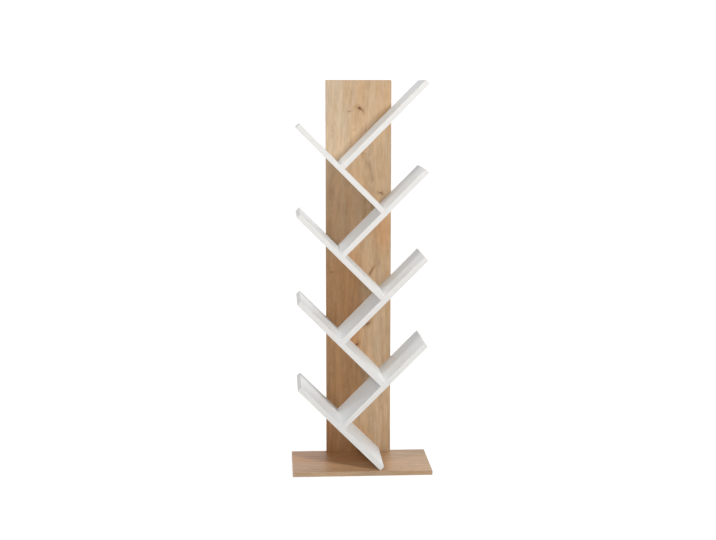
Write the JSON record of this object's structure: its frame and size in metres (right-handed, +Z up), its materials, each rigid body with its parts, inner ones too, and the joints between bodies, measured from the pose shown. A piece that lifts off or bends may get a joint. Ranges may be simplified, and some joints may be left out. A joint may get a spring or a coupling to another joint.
{
  "type": "tree shaped bookshelf",
  "caption": "Free-standing tree shaped bookshelf: slanted white shelves zigzag up an oak-decor back panel that stands on a flat oak-decor base.",
  "frame": {"origin": "middle of the base's underside, on the floor", "axes": "+Z up, -Y towards the front, +X to the right seen from the front"},
  "size_m": [0.48, 0.27, 1.3461],
  "materials": {
    "oak_board": "satin oak decor",
    "oak_band": "satin oak decor",
    "white_board": "satin white melamine",
    "white_band": "satin white",
    "dowel_wood": "raw beech",
    "screw_steel": "bright zinc",
    "cap_plastic": "matt oak colour"
  },
  "bodies": {
    "root": {"base_plate": "oak_board", "base_edging": "oak_band", "base_screws": "screw_steel", "panel_dowels": "dowel_wood", "back_panel": "oak_board", "panel_edging": "oak_band", "left_shelf_1": "white_board", "left_shelf_1_edging": "white_band", "right_shelf_1": "white_board", "right_shelf_1_edging": "white_band", "left_shelf_2": "white_board", "left_shelf_2_edging": "white_band", "right_shelf_2": "white_board", "right_shelf_2_edging": "white_band", "left_shelf_3": "white_board", "left_shelf_3_edging": "white_band", "right_shelf_3": "white_board", "right_shelf_3_edging": "white_band", "left_shelf_4": "white_board", "left_shelf_4_edging": "white_band", "right_shelf_4": "white_board", "right_shelf_4_edging": "white_band", "shelf_dowels": "dowel_wood", "shelf_screws": "screw_steel", "screw_caps": "cap_plastic"}
  },
  "joints": []
}
